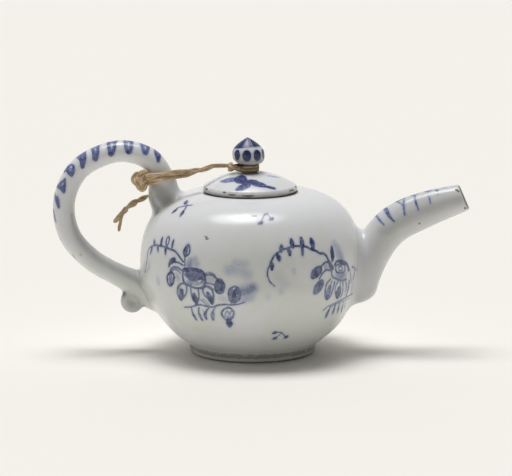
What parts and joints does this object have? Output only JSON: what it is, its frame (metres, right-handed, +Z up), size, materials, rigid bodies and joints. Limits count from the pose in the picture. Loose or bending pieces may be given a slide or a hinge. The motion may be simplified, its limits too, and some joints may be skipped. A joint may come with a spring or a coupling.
{
  "type": "miniature teapot",
  "caption": "Small blue and white porcelain teapot with a curved spout, a looped handle, and a lid tied to the handle by twine.",
  "frame": {"origin": "on the surface it stands on, under the middle of its overall length and width", "axes": "+X towards the spout, +Z up, +Y away from the side that the picture shows"},
  "size_m": [0.1122, 0.06, 0.0589],
  "materials": {
    "glazed_porcelain": "clear bluish white glaze over porcelain, with blue painting under it and bare worn edges",
    "painted_knob": "glaze over cobalt blue petals",
    "twine": "two-strand natural twine, dry and fuzzy"
  },
  "bodies": {
    "pot": {"pot_body": "glazed_porcelain", "spout": "glazed_porcelain", "handle": "glazed_porcelain", "twine_handle_turn": "twine", "twine_handle_knot": "twine", "twine_tail": "twine"},
    "twine_collar": {"twine_neck_turns": "twine", "twine_neck_knot": "twine", "twine_bridge": "twine"},
    "lid": {"lid": "glazed_porcelain", "knob": "painted_knob"}
  },
  "joints": [
    {"name": "lid_lift", "type": "slide", "parent": "pot", "child": "twine_collar", "axis": [0, 0, 1], "range_m": [0, 0.006], "deforming": ["twine_bridge"]},
    {"name": "lid_turn", "type": "hinge", "parent": "twine_collar", "child": "lid", "pos_m": [-0.00248, 0, 0.0441], "axis": [0, 0, 1], "continuous": true}
  ]
}
